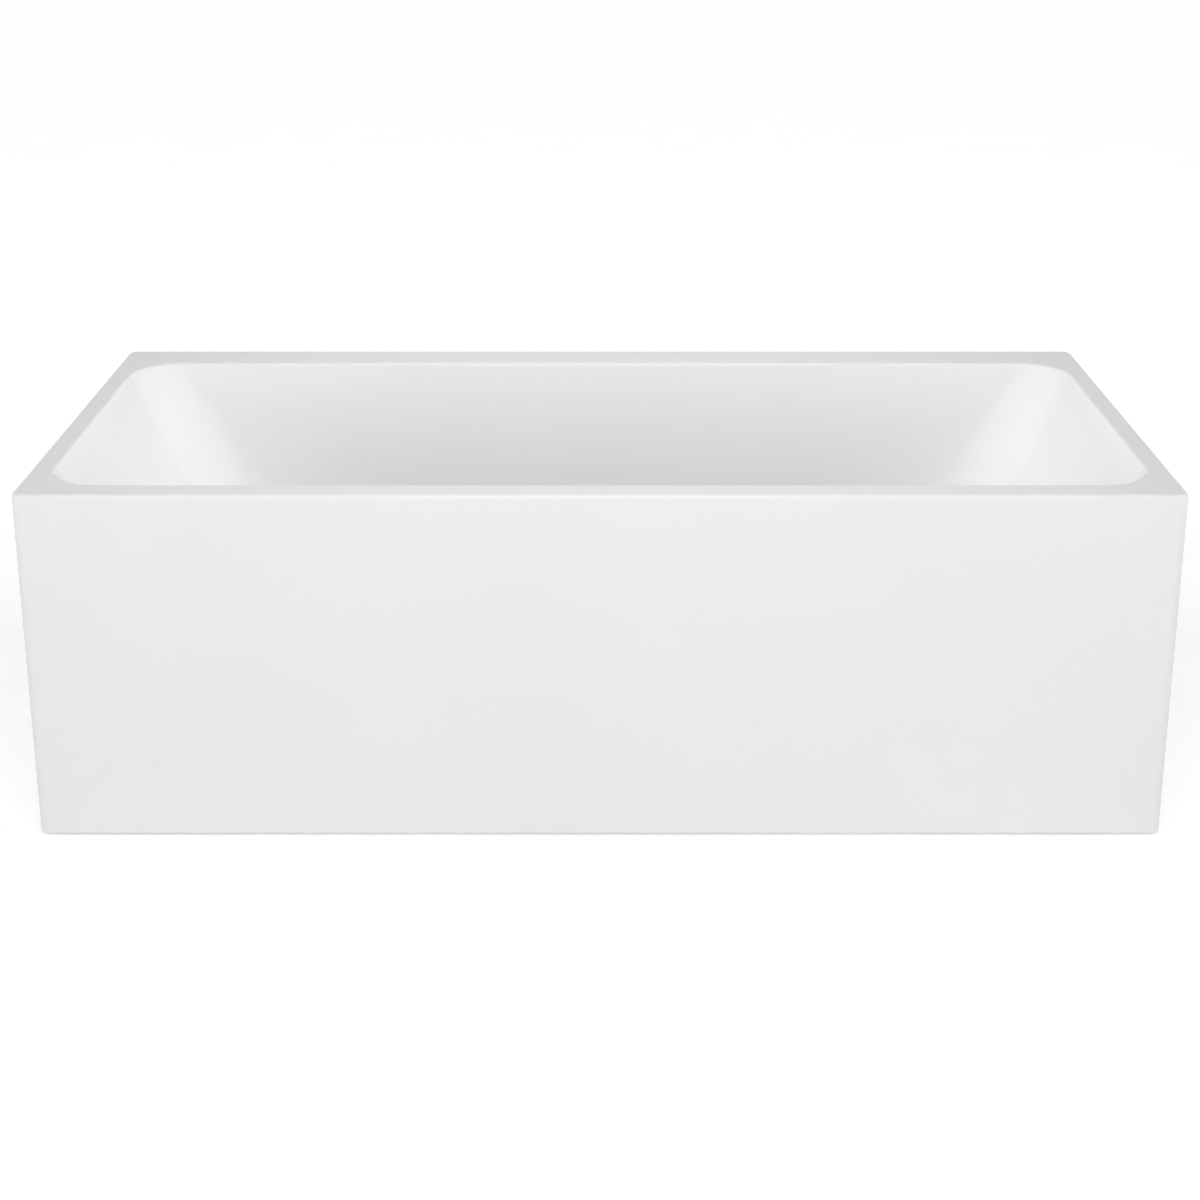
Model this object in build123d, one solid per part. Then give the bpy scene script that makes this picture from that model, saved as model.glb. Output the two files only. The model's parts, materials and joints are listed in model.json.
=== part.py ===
from build123d import *
import math
import os

# Freestanding bathtub in millimetres. The origin is on the floor under the middle of the tub,
# +X runs along the tub to the right, +Y to the rear long side and +Z up.

# Overall size
tub_length = 1800.0
tub_width = 800.0
tub_height = 580.0

# Moulded shell: flat rim, turned-down lip and basin
shell_thickness = 5.0
rim_width_end = 36.0
rim_width_front = 50.0
rim_width_rear = 86.0
outer_corner_radius = 18.0
outer_edge_radius = 7.0
inner_edge_radius = 7.0
lip_height = 30.0
opening_corner_radius = 82.0
lower_corner_radius = 138.0
end_wall_tilt = 28.5
side_wall_tilt = 5.5
wall_blend_height = 84.0
wall_blend_steps = 7
floor_fall = 6.0
waste_seat_half = 46.0
waste_seat_corner = 36.0

# Outer skirt below the lip
skirt_thickness = 5.0
skirt_floor_gap = 3.0
skirt_edge_radius = 1.5

# Timber under the rim and under the floor
batten_height = 40.0
batten_width = 20.0
batten_corner_gap = 2.0
base_board_thickness = 18.0
base_board_margin = 6.0
base_board_hole_radius = 58.0

# Steel cross-members with a pair of feet on each
tube_side = 30.0
tube_wall = 2.0
tube_corner_radius = 3.0
cross_skirt_gap = 35.0
cross_board_inset = 101.7
cross_waste_gap = 55.0

# Screws from the cross-members up into the base board
board_screw_radius = 2.5
board_screw_length = 40.0
board_screw_head_radius = 5.0
board_screw_head_height = 3.0
board_screw_pitch = 130.0

# Brackets from the cross-members to the skirt, and their bolts
bracket_width = 40.0
bracket_thickness = 3.0
bracket_overlap = 27.0
bracket_upstand = 40.0
bracket_bolt_radius = 3.0
bracket_bolt_length = 14.0
bracket_bolt_head_width = 10.0
bracket_bolt_head_height = 4.0
bracket_bolt_inset = 13.0

# Levelling feet
foot_end_inset = 40.0
stud_radius = 6.0
stud_thread_gap = 0.08
stud_tube_gap = 0.6
stud_top_gap = 3.0
stud_seat_depth = 6.0
pad_radius = 25.0
pad_rim_height = 5.0
pad_height = 12.0
pad_top_radius = 14.0
foot_nut_width = 19.0
foot_nut_height = 10.0

# Waste flange, strainer and click plug in the floor
waste_hole_radius = 26.0
flange_radius = 36.0
flange_thickness = 3.0
flange_edge_radius = 1.2
flange_tube_radius = 24.5
flange_bore_radius = 21.5
flange_tube_length = 36.0
flange_seal_thickness = 1.5
flange_seal_radius = 34.0
strainer_hub_radius = 11.0
strainer_height = 6.0
strainer_depth = 28.0
strainer_rib_width = 3.0
strainer_rib_count = 4
guide_radius = 8.0
guide_rise = 8.0
guide_collar_radius = 10.0
guide_collar_height = 2.0
guide_end_wall = 2.0
stem_radius = 4.0
stem_gap = 0.05
stem_hold = 8.0
plug_travel = 10.0
plug_radius = 31.0
plug_edge_height = 3.0
plug_dome_height = 3.5
plug_flange_gap = 0.4
plug_hub_radius = 9.0
plug_hub_height = 5.0
plug_seal_gap = 0.5
plug_seal_height = 3.0
spring_height = 4.0
spring_wire = 0.8
spring_gap = 0.3

# Waste body under the floor
gasket_thickness = 3.0
gasket_radius = 38.0
body_flange_radius = 40.0
body_flange_height = 5.0
body_radius = 30.0
body_height = 56.0
body_end_wall = 4.0
body_outlet_gap = 5.0
port_drop = 34.0
port_wall = 4.0
port_reach = 24.0

# Overflow high in the front wall
overflow_below_rim = 80.0
overflow_hole_radius = 24.0
overflow_flange_radius = 33.0
overflow_flange_thickness = 3.0
overflow_bore_radius = 22.0
overflow_hub_radius = 8.0
overflow_rib_width = 3.0
overflow_rib_count = 3
overflow_screw_radius = 3.0
overflow_screw_head_radius = 5.5
overflow_screw_head_height = 3.0
cover_wall = 4.0
cover_height = 13.0
cover_stand = 1.0
cover_edge_radius = 3.0
cover_slot_width = 12.0
cover_slot_height = 6.0
cover_slot_step = 38.0
overflow_seal_thickness = 3.0
elbow_flange_thickness = 4.0
elbow_radius = 30.0
elbow_depth = 30.0
elbow_wall = 2.5
spigot_length = 26.0
spigot_overlap = 16.0

# Overflow pipe and its union nuts
pipe_radius = 16.0
pipe_wall = 2.0
pipe_skirt_gap = 6.0
pipe_bend_radius = 46.0
union_nut_wall = 3.5
union_nut_length = 20.0
union_nut_lip = 6.0

# Trap and outlet pipe
trap_radius = 20.0
trap_wall = 2.0
trap_bend_radius = 30.0
trap_straight = 4.0
trap_floor_gap = 8.0
trap_outlet_run = 40.0
trap_nut_wall = 7.0
trap_nut_length = 22.0
trap_washer_thickness = 2.0
outlet_run = 138.0
outlet_floor_gap = 10.0

# Heights and places that follow from the sizes above
half_length = tub_length / 2
half_width = tub_width / 2
skirt_inner_x = half_length - skirt_thickness
skirt_inner_y = half_width - skirt_thickness
rim_under_z = tub_height - shell_thickness
lip_bottom_z = tub_height - lip_height
opening_half_x = half_length - rim_width_end
opening_half_y = (tub_width - rim_width_front - rim_width_rear) / 2
opening_centre_y = (rim_width_front - rim_width_rear) / 2

# The waste, its outlet and the trap stand on each other and set how high the basin's floor is
trap_bottom_z = trap_floor_gap + trap_radius
trap_top_z = trap_bottom_z + trap_bend_radius + trap_nut_length / 2
outlet_end_z = trap_top_z + trap_washer_thickness
body_outlet_length = trap_nut_length / 2 - trap_washer_thickness + body_outlet_gap
body_bottom_z = outlet_end_z + body_outlet_length
body_top_z = body_bottom_z + body_height
seat_under_z = body_top_z + gasket_thickness
seat_z = seat_under_z + shell_thickness
floor_z = seat_z + floor_fall
basin_depth = tub_height - floor_z

# Frame under the floor
board_bottom_z = floor_z - shell_thickness - base_board_thickness
cross_bottom_z = board_bottom_z - tube_side
cross_length = 2 * (skirt_inner_y - cross_skirt_gap)
bracket_foot_length = cross_skirt_gap + bracket_overlap
foot_y = cross_length / 2 - foot_end_inset

# Waste, plug, overflow and drain
waste_y = opening_centre_y
flange_under_z = seat_z + flange_seal_thickness
flange_top_z = flange_under_z + flange_thickness
strainer_top_z = flange_top_z - strainer_depth
guide_top_z = strainer_top_z + guide_rise
stem_bottom_z = guide_top_z - stem_hold - plug_travel
guide_bottom_z = stem_bottom_z - spring_height - guide_end_wall
plug_bottom_z = flange_top_z + plug_flange_gap
port_z = body_top_z - port_drop
port_end_y = waste_y - body_radius - port_reach
trap_leg = 2 * trap_bend_radius + trap_straight
trap_outlet_z = trap_bottom_z + trap_leg
trap_end_y = waste_y + trap_leg + trap_bend_radius + trap_outlet_run
outlet_start_y = trap_end_y + trap_washer_thickness
outlet_end_y = outlet_start_y + outlet_run
overflow_z = tub_height - overflow_below_rim
pipe_y = pipe_skirt_gap + pipe_radius - skirt_inner_y
spigot_end_z = overflow_z - elbow_radius - spigot_length
pipe_top_z = spigot_end_z + spigot_overlap
pipe_end_y = port_end_y + spigot_overlap


def rod(radius, low_z, high_z, x=0.0, y=0.0):
    """Upright cylinder."""
    return Pos(x, y, (low_z + high_z) / 2) * Cylinder(radius, high_z - low_z)


def ring(outer_radius, inner_radius, low_z, high_z, x=0.0, y=0.0):
    """Upright ring."""
    return rod(outer_radius, low_z, high_z, x, y) - rod(inner_radius, low_z, high_z, x, y)


def block(low, high):
    """Box between two opposite corners."""
    size = [b - a for a, b in zip(low, high)]
    middle = [(a + b) / 2 for a, b in zip(low, high)]
    return Pos(*middle) * Box(*size)


def rounded_block(half_x, half_y, low_z, high_z, radius):
    """Upright block with rounded vertical edges."""
    outline = Pos(0, 0, low_z) * RectangleRounded(2 * half_x, 2 * half_y, radius)
    return extrude(outline, high_z - low_z)


def hexagon(width, low_z, high_z, x, y):
    """Upright hexagon, width across its flats."""
    outline = Pos(x, y, low_z) * RegularPolygon(width / 2, 6, major_radius=False)
    return extrude(outline, high_z - low_z)


def pipe(points, bend_radius, outer_radius, wall):
    """Pipe with rounded bends through points in the plane across the tub."""
    path = FilletPolyline(*points, radius=bend_radius)
    section = Circle(outer_radius) - Circle(outer_radius - wall)
    return sweep(Plane(path @ 0, z_dir=path % 0) * section, path=path)


def wall_blend_radius(tilt):
    """Radius of the curve from a tilted wall into the floor."""
    return wall_blend_height / (1 - math.sin(math.radians(tilt)))


def wall_centre(half_at_rim, tilt):
    """Distance from the middle of the basin to the centre of the wall's lower curve."""
    angle = math.radians(tilt)
    radius = wall_blend_radius(tilt)
    return half_at_rim - (basin_depth - radius) * math.tan(angle) - radius / math.cos(angle)


def wall_half(half_at_rim, tilt, z, grow):
    """Half size of the basin at height z, with the wall moved outwards by grow."""
    angle = math.radians(tilt)
    radius = wall_blend_radius(tilt)
    centre_z = floor_z + radius
    tangent_z = centre_z - (radius + grow) * math.sin(angle)
    if z >= tangent_z:
        return half_at_rim - (tub_height - z) * math.tan(angle) + grow / math.cos(angle)
    rise = centre_z - z
    reach = math.sqrt(max((radius + grow) ** 2 - rise ** 2, 0.0))
    return wall_centre(half_at_rim, tilt) + reach


def basin_corner_radius(z, grow):
    """Plan radius of the basin's corners at height z."""
    blend_top = floor_z + wall_blend_height
    if z >= blend_top:
        share = (tub_height - z) / (tub_height - blend_top)
        return opening_corner_radius + (lower_corner_radius - opening_corner_radius) * share + grow
    drawn_in = wall_half(opening_half_y, side_wall_tilt, blend_top, grow)
    drawn_in -= wall_half(opening_half_y, side_wall_tilt, z, grow)
    return lower_corner_radius - drawn_in + grow


def basin_section(z, grow):
    """Plan outline of the basin at height z."""
    half_x = wall_half(opening_half_x, end_wall_tilt, z, grow)
    half_y = wall_half(opening_half_y, side_wall_tilt, z, grow)
    outline = RectangleRounded(2 * half_x, 2 * half_y, basin_corner_radius(z, grow))
    return Pos(0, opening_centre_y, z) * outline


def basin_volume(grow):
    """Solid that fills the basin, with its walls and floor moved outwards by grow."""
    radius = wall_blend_radius(side_wall_tilt)
    first = math.radians(side_wall_tilt)
    curve = []
    for step in range(wall_blend_steps + 1):
        angle = first + (math.pi / 2 - first) * step / wall_blend_steps
        curve.append(basin_section(floor_z + radius - (radius + grow) * math.sin(angle), grow))
    upper = loft([basin_section(tub_height, grow), curve[0]], ruled=True)
    lower = loft(curve)
    seat = RectangleRounded(2 * waste_seat_half, 2 * waste_seat_half, waste_seat_corner)
    fall = loft([curve[-1], Pos(0, waste_y, seat_z - grow) * seat], ruled=True)
    return upper + lower + fall


def overflow_wall_plane():
    """Plane on the front wall at the overflow, facing into the basin, with its Y pointing down."""
    tilt = math.radians(side_wall_tilt)
    wall_y = opening_centre_y - wall_half(opening_half_y, side_wall_tilt, overflow_z, 0)
    facing = (0, math.cos(tilt), math.sin(tilt))
    return Plane(origin=(0, wall_y, overflow_z), x_dir=(1, 0, 0), z_dir=facing)


def on_front_wall(shape):
    """Shape made about the origin, moved to the overflow in the front wall."""
    return overflow_wall_plane().location * shape


def base_board_half_length():
    """Half length of the base board, which ends inside the curves of the end walls."""
    return wall_centre(opening_half_x, end_wall_tilt) - base_board_margin


def cross_places():
    """Positions along the tub of the cross-members: near the board's ends and beside the waste."""
    end_x = base_board_half_length() - cross_board_inset
    centre_x = body_flange_radius + cross_waste_gap + tube_side / 2
    return [-end_x, centre_x, end_x]


def foot_places():
    """Plan positions of the feet, front and rear on each cross-member."""
    return [(x, side * foot_y) for x in cross_places() for side in (-1, 1)]


def board_screw_places():
    """Plan positions of the screws into the base board."""
    rows = [opening_centre_y + step * board_screw_pitch for step in (-1, 0, 1)]
    return [(x, y) for x in cross_places() for y in rows]


def bracket_places():
    """Cross-member position and side of each skirt bracket."""
    return [(x, side) for x in cross_places() for side in (-1, 1)]


def make_tub_basin():
    corner = outer_corner_radius - skirt_thickness
    rim = rounded_block(half_length, half_width, lip_bottom_z, tub_height, outer_corner_radius)
    rim = fillet(rim.faces().sort_by(Axis.Z)[-1].edges(), outer_edge_radius)
    hollow = rounded_block(skirt_inner_x, skirt_inner_y, lip_bottom_z, rim_under_z, corner)
    shell = rim - hollow + basin_volume(shell_thickness) - basin_volume(0)
    top_face = shell.faces().filter_by(Plane.XY).sort_by(Axis.Z)[-1]
    shell = fillet(top_face.inner_wires()[0].edges(), inner_edge_radius)
    shell -= rod(waste_hole_radius, seat_under_z, seat_z, 0, waste_y)
    return shell - on_front_wall(Cylinder(overflow_hole_radius, 4 * shell_thickness))


def make_outer_skirt():
    corner = outer_corner_radius - skirt_thickness
    skirt = rounded_block(half_length, half_width, skirt_floor_gap, lip_bottom_z, outer_corner_radius)
    skirt = fillet(skirt.faces().sort_by(Axis.Z)[0].edges(), skirt_edge_radius)
    return skirt - rounded_block(skirt_inner_x, skirt_inner_y, skirt_floor_gap, lip_bottom_z, corner)


def make_long_batten(side):
    half = skirt_inner_x - outer_corner_radius + skirt_thickness - batten_corner_gap
    edges = sorted((side * skirt_inner_y, side * (skirt_inner_y - batten_width)))
    return block((-half, edges[0], rim_under_z - batten_height), (half, edges[1], rim_under_z))


def make_end_batten(side):
    half = skirt_inner_y - batten_width - batten_corner_gap
    edges = sorted((side * skirt_inner_x, side * (skirt_inner_x - batten_width)))
    return block((edges[0], -half, rim_under_z - batten_height), (edges[1], half, rim_under_z))


def make_base_board():
    half_x = base_board_half_length()
    half_y = wall_centre(opening_half_y, side_wall_tilt) - base_board_margin
    low = (-half_x, opening_centre_y - half_y, board_bottom_z)
    high = (half_x, opening_centre_y + half_y, floor_z)
    board = block(low, high) - basin_volume(shell_thickness)
    board -= rod(base_board_hole_radius, board_bottom_z, floor_z, 0, waste_y)
    for x, y in board_screw_places():
        board -= rod(board_screw_radius, board_bottom_z, cross_bottom_z + board_screw_length, x, y)
    return board


def make_cross_member(x):
    outer = RectangleRounded(tube_side, tube_side, tube_corner_radius)
    inside = tube_side - 2 * tube_wall
    inner = RectangleRounded(inside, inside, tube_corner_radius - tube_wall)
    middle_z = cross_bottom_z + tube_side / 2
    start = Plane(origin=(x, -cross_length / 2, middle_z), z_dir=(0, 1, 0))
    member = extrude(start * (outer - inner), cross_length)
    for foot_x, foot_y in foot_places():
        hole_radius = stud_radius + stud_tube_gap
        member -= rod(hole_radius, cross_bottom_z, middle_z, foot_x, foot_y)
    for screw_x, screw_y in board_screw_places():
        member -= rod(board_screw_radius, cross_bottom_z, board_bottom_z, screw_x, screw_y)
    for bracket_x, side in bracket_places():
        bolt_y = side * (cross_length / 2 - bracket_bolt_inset)
        member -= rod(bracket_bolt_radius, middle_z, board_bottom_z, bracket_x, bolt_y)
    return member


def make_board_screws():
    screws = []
    for x, y in board_screw_places():
        shank = rod(board_screw_radius, cross_bottom_z, cross_bottom_z + board_screw_length, x, y)
        head_bottom_z = cross_bottom_z - board_screw_head_height
        screws.append(shank + rod(board_screw_head_radius, head_bottom_z, cross_bottom_z, x, y))
    return Compound(screws)


def make_skirt_brackets():
    brackets = []
    top_z = board_bottom_z + bracket_thickness
    for x, side in bracket_places():
        low_x = x - bracket_width / 2
        high_x = x + bracket_width / 2
        foot_y = sorted((side * skirt_inner_y, side * (skirt_inner_y - bracket_foot_length)))
        wall_y = sorted((side * skirt_inner_y, side * (skirt_inner_y - bracket_thickness)))
        foot = block((low_x, foot_y[0], board_bottom_z), (high_x, foot_y[1], top_z))
        upstand_z = board_bottom_z + bracket_upstand
        upstand = block((low_x, wall_y[0], board_bottom_z), (high_x, wall_y[1], upstand_z))
        bolt_y = side * (cross_length / 2 - bracket_bolt_inset)
        brackets.append(foot + upstand - rod(bracket_bolt_radius, board_bottom_z, top_z, x, bolt_y))
    return Compound(brackets)


def make_bracket_bolts():
    bolts = []
    seat = board_bottom_z + bracket_thickness
    for x, side in bracket_places():
        y = side * (cross_length / 2 - bracket_bolt_inset)
        shank = rod(bracket_bolt_radius, seat - bracket_bolt_length, seat, x, y)
        head = hexagon(bracket_bolt_head_width, seat, seat + bracket_bolt_head_height, x, y)
        bolts.append(shank + head)
    return Compound(bolts)


def make_foot_nuts(row):
    """Nuts round the studs: row 0 is welded to the cross-members, row 1 locks under it."""
    nuts = []
    high_z = cross_bottom_z - row * foot_nut_height
    low_z = high_z - foot_nut_height
    for x, y in foot_places():
        bore = rod(stud_radius + stud_thread_gap, low_z, high_z, x, y)
        nuts.append(hexagon(foot_nut_width, low_z, high_z, x, y) - bore)
    return Compound(nuts)


def make_foot_stud(x, y):
    top_z = board_bottom_z - tube_wall - stud_top_gap
    return rod(stud_radius, pad_height - stud_seat_depth, top_z, x, y)


def make_foot_pad(x, y):
    cone_height = pad_height - pad_rim_height
    cone = Pos(x, y, pad_rim_height + cone_height / 2) * Cone(pad_radius, pad_top_radius, cone_height)
    pad = rod(pad_radius, 0, pad_rim_height, x, y) + cone
    return pad - rod(stud_radius, pad_height - stud_seat_depth, pad_height, x, y)


def make_flange_seal():
    return ring(flange_seal_radius, waste_hole_radius, seat_z, flange_under_z, 0, waste_y)


def make_waste_flange():
    plate = rod(flange_radius, flange_under_z, flange_top_z, 0, waste_y)
    plate = fillet(plate.faces().sort_by(Axis.Z)[-1].edges(), flange_edge_radius)
    tube_end_z = flange_under_z - flange_tube_length
    flange = plate + rod(flange_tube_radius, tube_end_z, flange_under_z, 0, waste_y)
    flange -= rod(flange_bore_radius, tube_end_z, flange_top_z, 0, waste_y)
    low_z = strainer_top_z - strainer_height
    strainer = rod(strainer_hub_radius, low_z, strainer_top_z, 0, waste_y)
    for number in range(strainer_rib_count):
        rib = Box(flange_tube_radius, strainer_rib_width, strainer_height)
        rib = Pos(flange_tube_radius / 2, 0, (low_z + strainer_top_z) / 2) * rib
        strainer += Pos(0, waste_y, 0) * Rot(0, 0, 360 * number / strainer_rib_count) * rib
    strainer &= rod(flange_tube_radius, low_z, strainer_top_z, 0, waste_y)
    return flange + strainer - rod(guide_radius, low_z, strainer_top_z, 0, waste_y)


def make_plug_guide():
    guide = rod(guide_radius, guide_bottom_z, guide_top_z, 0, waste_y)
    collar_top_z = strainer_top_z + guide_collar_height
    guide += rod(guide_collar_radius, strainer_top_z, collar_top_z, 0, waste_y)
    bore_floor_z = guide_bottom_z + guide_end_wall
    return guide - rod(stem_radius + stem_gap, bore_floor_z, guide_top_z, 0, waste_y)


def make_plug_spring():
    outer = stem_radius - spring_gap
    low_z = guide_bottom_z + guide_end_wall
    return ring(outer, outer - spring_wire, low_z, low_z + spring_height, 0, waste_y)


def make_plug_stem():
    return rod(stem_radius, stem_bottom_z, plug_bottom_z - plug_hub_height, 0, waste_y)


def make_plug_cap():
    top_z = plug_bottom_z + plug_edge_height + plug_dome_height
    dome_radius = (plug_radius ** 2 + plug_dome_height ** 2) / (2 * plug_dome_height)
    cap = rod(plug_radius, plug_bottom_z, top_z, 0, waste_y)
    cap &= Pos(0, waste_y, top_z - dome_radius) * Sphere(dome_radius)
    return cap + rod(plug_hub_radius, plug_bottom_z - plug_hub_height, plug_bottom_z, 0, waste_y)


def make_plug_seal():
    outer = flange_bore_radius - plug_seal_gap
    return ring(outer, plug_hub_radius, plug_bottom_z - plug_seal_height, plug_bottom_z, 0, waste_y)


def make_waste_gasket():
    return ring(gasket_radius, waste_hole_radius, body_top_z, seat_under_z, 0, waste_y)


def make_waste_body():
    body = rod(body_radius, body_bottom_z, body_top_z, 0, waste_y)
    body += rod(body_flange_radius, body_top_z - body_flange_height, body_top_z, 0, waste_y)
    body += rod(trap_radius, outlet_end_z, body_bottom_z, 0, waste_y)
    port_outer = pipe_radius + port_wall
    port_length = waste_y - port_end_y
    along_y = Rot(90, 0, 0)
    port_place = Pos(0, (waste_y + port_end_y) / 2, port_z)
    body += port_place * along_y * Cylinder(port_outer, port_length)
    inner_bottom_z = body_bottom_z + body_end_wall
    body -= rod(flange_tube_radius, inner_bottom_z, body_top_z, 0, waste_y)
    body -= rod(trap_radius - trap_wall, outlet_end_z, body_top_z, 0, waste_y)
    return body - port_place * along_y * Cylinder(pipe_radius, port_length)


def make_overflow_flange():
    flange = Cylinder(overflow_flange_radius, overflow_flange_thickness)
    flange -= Cylinder(overflow_bore_radius, overflow_flange_thickness)
    spider = Cylinder(overflow_hub_radius, overflow_flange_thickness)
    for number in range(overflow_rib_count):
        rib = Box(overflow_bore_radius, overflow_rib_width, overflow_flange_thickness)
        rib = Pos(overflow_bore_radius / 2, 0, 0) * rib
        spider += Rot(0, 0, 90 + 360 * number / overflow_rib_count) * rib
    flange += spider
    flange -= Cylinder(overflow_screw_radius, overflow_flange_thickness)
    return on_front_wall(Pos(0, 0, overflow_flange_thickness / 2) * flange)


def make_overflow_screw():
    reach = shell_thickness + overflow_seal_thickness + elbow_flange_thickness + elbow_depth
    back = elbow_wall - reach
    shank = rod(overflow_screw_radius, back, overflow_flange_thickness)
    head_top = overflow_flange_thickness + overflow_screw_head_height
    head = rod(overflow_screw_head_radius, overflow_flange_thickness, head_top)
    return on_front_wall(shank + head)


def make_overflow_cover():
    radius = overflow_flange_radius + cover_wall
    top = cover_stand + cover_height
    cover = rod(radius, cover_stand, top)
    cover = fillet(cover.faces().sort_by(Axis.Z)[-1].edges(), cover_edge_radius)
    cover -= rod(overflow_flange_radius, cover_stand, top - cover_wall)
    slot_z = top - cover_wall - cover_slot_height / 2
    for step in (-1, 0, 1):
        slot = Pos(radius, 0, slot_z) * Box(4 * cover_wall, cover_slot_width, cover_slot_height)
        cover -= Rot(0, 0, 90 + step * cover_slot_step) * slot
    return on_front_wall(cover)


def make_overflow_seal():
    back = -shell_thickness - overflow_seal_thickness
    return on_front_wall(ring(overflow_flange_radius, overflow_hole_radius, back, -shell_thickness))


def make_overflow_elbow():
    front = -shell_thickness - overflow_seal_thickness
    cup_front = front - elbow_flange_thickness
    back = cup_front - elbow_depth
    cup = rod(overflow_flange_radius, cup_front, front) + rod(elbow_radius, back, cup_front)
    cup -= rod(elbow_radius - elbow_wall, back + elbow_wall, cup_front)
    cup -= rod(overflow_hole_radius, cup_front, front)
    cup += rod(overflow_hub_radius, back, cup_front)
    cup -= rod(overflow_screw_radius, back + elbow_wall, cup_front)
    spigot = rod(pipe_radius + elbow_wall, spigot_end_z, overflow_z - elbow_radius / 2, 0, pipe_y)
    inside = rod(pipe_radius, spigot_end_z, overflow_z - elbow_radius / 2, 0, pipe_y)
    cup_filled = on_front_wall(rod(elbow_radius - elbow_wall, back + elbow_wall, cup_front))
    spigot -= cup_filled
    return on_front_wall(cup) + spigot - inside


def make_overflow_pipe():
    points = [(0, pipe_y, pipe_top_z), (0, pipe_y, port_z), (0, pipe_end_y, port_z)]
    return pipe(points, pipe_bend_radius, pipe_radius, pipe_wall)


def union_nut(inner_radius):
    """Union nut on the axis Z: its lip closes on the pipe below zero, its sleeve goes up over a spigot."""
    sleeve_length = union_nut_length - union_nut_lip
    sleeve = ring(inner_radius + union_nut_wall, inner_radius, 0, sleeve_length)
    return sleeve + ring(inner_radius + union_nut_wall, pipe_radius, -union_nut_lip, 0)


def make_overflow_top_nut():
    return Pos(0, pipe_y, spigot_end_z) * union_nut(pipe_radius + elbow_wall)


def make_overflow_port_nut():
    return Pos(0, port_end_y, port_z) * Rot(-90, 0, 0) * union_nut(pipe_radius + port_wall)


def make_trap():
    points = [
        (0, waste_y, trap_top_z),
        (0, waste_y, trap_bottom_z),
        (0, waste_y + trap_leg, trap_bottom_z),
        (0, waste_y + trap_leg, trap_outlet_z),
        (0, trap_end_y, trap_outlet_z),
    ]
    return pipe(points, trap_bend_radius, trap_radius, trap_wall)


def make_outlet_pipe():
    points = [
        (0, outlet_start_y, trap_outlet_z),
        (0, outlet_end_y, trap_outlet_z),
        (0, outlet_end_y, outlet_floor_gap),
    ]
    return pipe(points, trap_bend_radius, trap_radius, trap_wall)


def make_trap_washers():
    washer = ring(trap_radius, trap_radius - trap_wall, 0, trap_washer_thickness)
    upper = Pos(0, waste_y, trap_top_z) * washer
    lower = Pos(0, trap_end_y, trap_outlet_z) * Rot(-90, 0, 0) * washer
    return Compound([upper, lower])


def make_trap_nut(place):
    half = trap_nut_length / 2
    return place * ring(trap_radius + trap_nut_wall, trap_radius, -half, half)


def build_parts():
    left_x, centre_x, right_x = cross_places()
    parts = {
        "tub_basin": make_tub_basin(),
        "outer_skirt": make_outer_skirt(),
        "rim_batten_front": make_long_batten(-1),
        "rim_batten_rear": make_long_batten(1),
        "rim_batten_left": make_end_batten(-1),
        "rim_batten_right": make_end_batten(1),
        "base_board": make_base_board(),
        "cross_member_left": make_cross_member(left_x),
        "cross_member_centre": make_cross_member(centre_x),
        "cross_member_right": make_cross_member(right_x),
        "board_screws": make_board_screws(),
        "skirt_brackets": make_skirt_brackets(),
        "bracket_bolts": make_bracket_bolts(),
        "foot_weld_nuts": make_foot_nuts(0),
        "foot_lock_nuts": make_foot_nuts(1),
        "waste_flange_seal": make_flange_seal(),
        "waste_flange": make_waste_flange(),
        "plug_guide": make_plug_guide(),
        "plug_spring": make_plug_spring(),
        "plug_stem": make_plug_stem(),
        "plug_cap": make_plug_cap(),
        "plug_seal": make_plug_seal(),
        "waste_gasket": make_waste_gasket(),
        "waste_body": make_waste_body(),
        "overflow_flange": make_overflow_flange(),
        "overflow_screw": make_overflow_screw(),
        "overflow_cover": make_overflow_cover(),
        "overflow_seal": make_overflow_seal(),
        "overflow_elbow": make_overflow_elbow(),
        "overflow_pipe": make_overflow_pipe(),
        "overflow_top_nut": make_overflow_top_nut(),
        "overflow_port_nut": make_overflow_port_nut(),
        "trap": make_trap(),
        "trap_washers": make_trap_washers(),
        "trap_inlet_nut": make_trap_nut(Pos(0, waste_y, trap_top_z)),
        "trap_outlet_nut": make_trap_nut(Pos(0, trap_end_y, trap_outlet_z) * Rot(90, 0, 0)),
        "outlet_pipe": make_outlet_pipe(),
    }
    for number, (x, y) in enumerate(foot_places(), start=1):
        parts[f"foot_{number}_stud"] = make_foot_stud(x, y)
        parts[f"foot_{number}_pad"] = make_foot_pad(x, y)
    return parts


os.makedirs("parts", exist_ok=True)
for name, shape in build_parts().items():
    export_step(shape, f"parts/{name}.step")
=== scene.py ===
import json
import math

import bmesh
import bpy
import numpy as np
from mathutils import Matrix, Vector


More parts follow.
